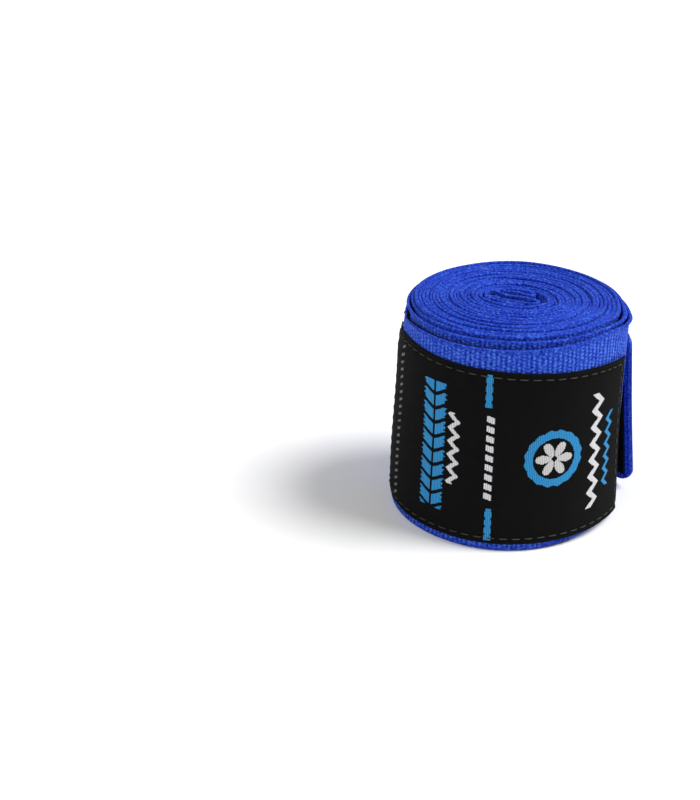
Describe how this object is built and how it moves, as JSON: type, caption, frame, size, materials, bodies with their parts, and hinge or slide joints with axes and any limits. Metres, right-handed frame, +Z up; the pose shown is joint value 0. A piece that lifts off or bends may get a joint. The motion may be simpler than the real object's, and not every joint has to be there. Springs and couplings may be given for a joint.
{
  "type": "hand wrap",
  "caption": "Rolled elastic hand wrap for boxing: a ribbed knitted band wound up on its thumb loop, with a woven label and a hook-tape tail that peels off.",
  "frame": {"origin": "under the middle of the whole part's box, on the plane that the band's edges stand on", "axes": "+Z up along the roll's axis, -Y to the front with the label, +X to the side where the tip stands clear"},
  "size_m": [0.0602, 0.0566, 0.0524],
  "materials": {
    "band_fabric": "ribbed elastic cotton knit, matt with a soft sheen",
    "hook_tape": "moulded hooks on a woven nylon tape",
    "label_fabric": "fine woven polyester damask",
    "label_thread": "spun polyester sewing thread",
    "band_thread": "spun polyester sewing thread",
    "loop_tape": "plain woven cotton tape"
  },
  "bodies": {
    "roll": {"rolled_band": "band_fabric", "hook_tape_root": "hook_tape", "woven_label": "label_fabric", "label_stitching": "label_thread", "thumb_loop": "loop_tape", "thumb_loop_stitching": "band_thread"},
    "tail_1": {"tail_band_1": "band_fabric", "tail_hook_tape_1": "hook_tape", "tail_seam_lower_1": "band_thread", "tail_seam_upper_1": "band_thread"},
    "tail_2": {"tail_band_2": "band_fabric", "tail_hook_tape_2": "hook_tape", "tail_seam_lower_2": "band_thread", "tail_seam_upper_2": "band_thread"},
    "tail_3": {"tail_band_3": "band_fabric", "tail_hook_tape_3": "hook_tape", "tail_seam_lower_3": "band_thread", "tail_seam_upper_3": "band_thread"},
    "tip": {"tip_tab": "band_fabric", "tip_hook_tape": "hook_tape", "tip_stitching": "band_thread"}
  },
  "joints": [
    {"name": "tail_peel_1", "type": "hinge", "parent": "roll", "child": "tail_1", "pos_m": [-0.02893, 0.00321, 0], "axis": [0, 0, 1], "range_deg": [0, 45]},
    {"name": "tail_peel_2", "type": "hinge", "parent": "tail_1", "child": "tail_2", "pos_m": [-0.01797, 0.02246, 0], "axis": [0, 0, 1], "range_deg": [0, 45]},
    {"name": "tail_peel_3", "type": "hinge", "parent": "tail_2", "child": "tail_3", "pos_m": [0.00362, 0.02745, 0], "axis": [0, 0, 1], "range_deg": [0, 45]},
    {"name": "tip_lift", "type": "hinge", "parent": "tail_3", "child": "tip", "pos_m": [0.02192, 0.01495, 0], "axis": [0, 0, 1], "range_deg": [0, 45]}
  ]
}
